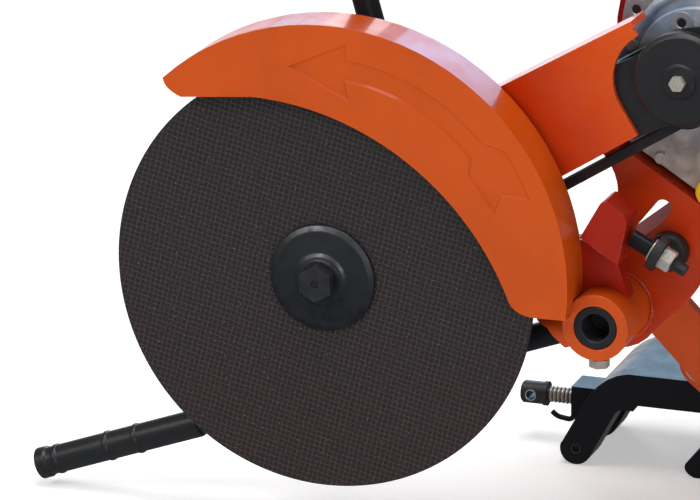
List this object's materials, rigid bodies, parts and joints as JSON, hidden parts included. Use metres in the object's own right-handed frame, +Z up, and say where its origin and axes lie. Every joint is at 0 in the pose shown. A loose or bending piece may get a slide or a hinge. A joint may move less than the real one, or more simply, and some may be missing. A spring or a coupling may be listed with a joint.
{
  "type": "rail cutting abrasive saw",
  "caption": "Petrol abrasive saw for cutting rails: disc with guard on a belt-drive arm, tilted engine, tubular handles, and an articulated rail clamp with screw-tightened jaw.",
  "frame": {"origin": "centre of the footprint's bounding box, on the ground that the stand foot, the side grip's end and the clamp's feet rest on", "axes": "+X from the disc towards the engine, +Y along the disc's axis away from the guard's open face, +Z up"},
  "size_m": [0.8824, 0.401, 0.6988],
  "materials": {
    "orange_paint": "glossy orange enamel",
    "red_paint": "glossy dark red-orange enamel",
    "black_paint": "semi-gloss black powder coat",
    "blower_paint": "glossy red enamel",
    "plated_steel": "bright zinc plating, turned",
    "dark_steel": "blackened steel, oiled",
    "cast_metal": "sand-cast, matt",
    "bare_aluminium": "die-cast, satin",
    "black_rubber": "moulded, matt",
    "black_plastic": "moulded, satin",
    "yellow_plastic": "moulded, glossy",
    "bonded_abrasive": "resin-bonded grit with a woven glass mesh"
  },
  "bodies": {
    "saw": {"arbor_housing": "orange_paint", "guard_shell": "orange_paint", "arm_channel": "orange_paint", "pivot_boss": "orange_paint", "handle_socket": "orange_paint", "side_plate": "red_paint", "stop_block": "red_paint", "engine_bed": "red_paint", "side_handle_tube": "black_paint", "top_handle_tube": "black_paint", "stand_leg": "black_paint", "fan_housing": "blower_paint", "fuel_tank": "blower_paint", "front_bearing": "plated_steel", "rear_bearing": "plated_steel", "bush_lock_bolt": "plated_steel", "stop_bolt": "plated_steel", "cover_bolt": "plated_steel", "muffler_guard": "plated_steel", "muffler": "dark_steel", "crankcase": "cast_metal", "cylinder_head": "cast_metal", "crankcase_cover": "bare_aluminium", "rocker_cover": "bare_aluminium", "carburettor": "bare_aluminium", "drive_belt": "black_rubber", "link_bumper": "black_rubber", "stop_disc": "black_rubber", "side_handle_grip": "black_rubber", "top_handle_grip": "black_rubber", "spark_plug_boot": "black_rubber", "stand_foot": "black_rubber", "pivot_bush": "black_plastic", "recoil_cover": "black_plastic", "air_filter": "black_plastic", "belt_housing": "black_plastic", "pulley_cover": "black_plastic"},
    "spindle": {"abrasive_disc": "bonded_abrasive", "outer_flange": "dark_steel", "inner_flange": "dark_steel", "arbor_bolt": "dark_steel", "arbor_shaft": "plated_steel", "driven_pulley": "cast_metal"},
    "crank": {"drive_pulley": "cast_metal"},
    "link_upper": {"upper_link": "orange_paint", "saw_pivot_pin": "plated_steel", "knuckle_pin": "plated_steel"},
    "link_lower": {"lower_link": "orange_paint"},
    "clamp": {"clamp_body": "black_paint", "clamp_pivot_pin": "plated_steel", "jaw_pin": "dark_steel"},
    "jaw": {"clamp_jaw": "dark_steel"},
    "pad": {"screw_pad": "dark_steel"},
    "screw": {"clamp_screw": "dark_steel"},
    "throttle": {"throttle_lever": "black_plastic"},
    "choke": {"choke_lever": "black_plastic"},
    "filler": {"fuel_cap": "black_plastic"},
    "oil_cap": {"oil_filler_cap": "yellow_plastic"},
    "starter": {"recoil_grip": "black_plastic"},
    "switch": {"stop_switch_key": "black_plastic"}
  },
  "joints": [
    {"name": "disc_spin", "type": "hinge", "parent": "saw", "child": "spindle", "pos_m": [-0.14018, -0.1745, 0.245], "axis": [0, 1, 0], "continuous": true},
    {"name": "drive_pulley_spin", "type": "hinge", "parent": "saw", "child": "crank", "pos_m": [0.18368, -0.1175, 0.45133], "axis": [0, 1, 0], "continuous": true},
    {"name": "saw_pivot", "type": "hinge", "parent": "saw", "child": "link_upper", "pos_m": [0.11582, -0.1025, 0.222], "axis": [0, -1, 0], "range_deg": [-60, 8]},
    {"name": "arm_knuckle", "type": "hinge", "parent": "link_upper", "child": "link_lower", "pos_m": [0.26431, -0.0195, 0.07351], "axis": [0, -1, 0], "range_deg": [0, 95]},
    {"name": "clamp_pivot", "type": "hinge", "parent": "link_lower", "child": "clamp", "pos_m": [0.17382, 0.0555, 0.145], "axis": [0, -1, 0], "range_deg": [-25, 25]},
    {"name": "screw_feed", "type": "slide", "parent": "clamp", "child": "pad", "axis": [1, 0, 0], "range_m": [0, 0.0085]},
    {"name": "clamp_screw_turn", "type": "hinge", "parent": "pad", "child": "screw", "pos_m": [-0.04018, 0.138, 0.046], "axis": [1, 0, 0], "range_deg": [0, 765]},
    {"name": "jaw_swing", "type": "hinge", "parent": "clamp", "child": "jaw", "pos_m": [0.02432, 0.138, 0.0155], "axis": [0, 1, 0], "range_deg": [0, 20]},
    {"name": "throttle_turn", "type": "hinge", "parent": "saw", "child": "throttle", "pos_m": [0.32911, 0.0665, 0.46893], "axis": [0, 1, 0], "range_deg": [-25, 25]},
    {"name": "choke_turn", "type": "hinge", "parent": "saw", "child": "choke", "pos_m": [0.37829, 0.0665, 0.43819], "axis": [0, 1, 0], "range_deg": [0, 60]},
    {"name": "fuel_cap_turn", "type": "hinge", "parent": "saw", "child": "filler", "pos_m": [0.26232, 0.0115, 0.63378], "axis": [0.5299, 0, 0.848], "range_deg": [0, 90]},
    {"name": "oil_cap_turn", "type": "hinge", "parent": "saw", "child": "oil_cap", "pos_m": [0.20065, -0.0955, 0.33695], "axis": [0, 1, 0], "range_deg": [0, 360]},
    {"name": "starter_pull", "type": "slide", "parent": "saw", "child": "starter", "axis": [-0.5921, 0, 0.8059], "range_m": [0, 0.14], "stiffness_N_per_m": 60},
    {"name": "switch_rock", "type": "hinge", "parent": "saw", "child": "switch", "pos_m": [0.20966, 0.0619, 0.3325], "axis": [0.5299, 0, 0.848], "range_deg": [-8, 8]}
  ],
  "couplings": [
    {"joint": "drive_pulley_spin", "follows": "disc_spin", "ratio": 1},
    {"joint": "clamp_screw_turn", "follows": "screw_feed", "rad_per_m": 1570.8},
    {"joint": "jaw_swing", "follows": "screw_feed", "rad_per_m": 41.066}
  ]
}
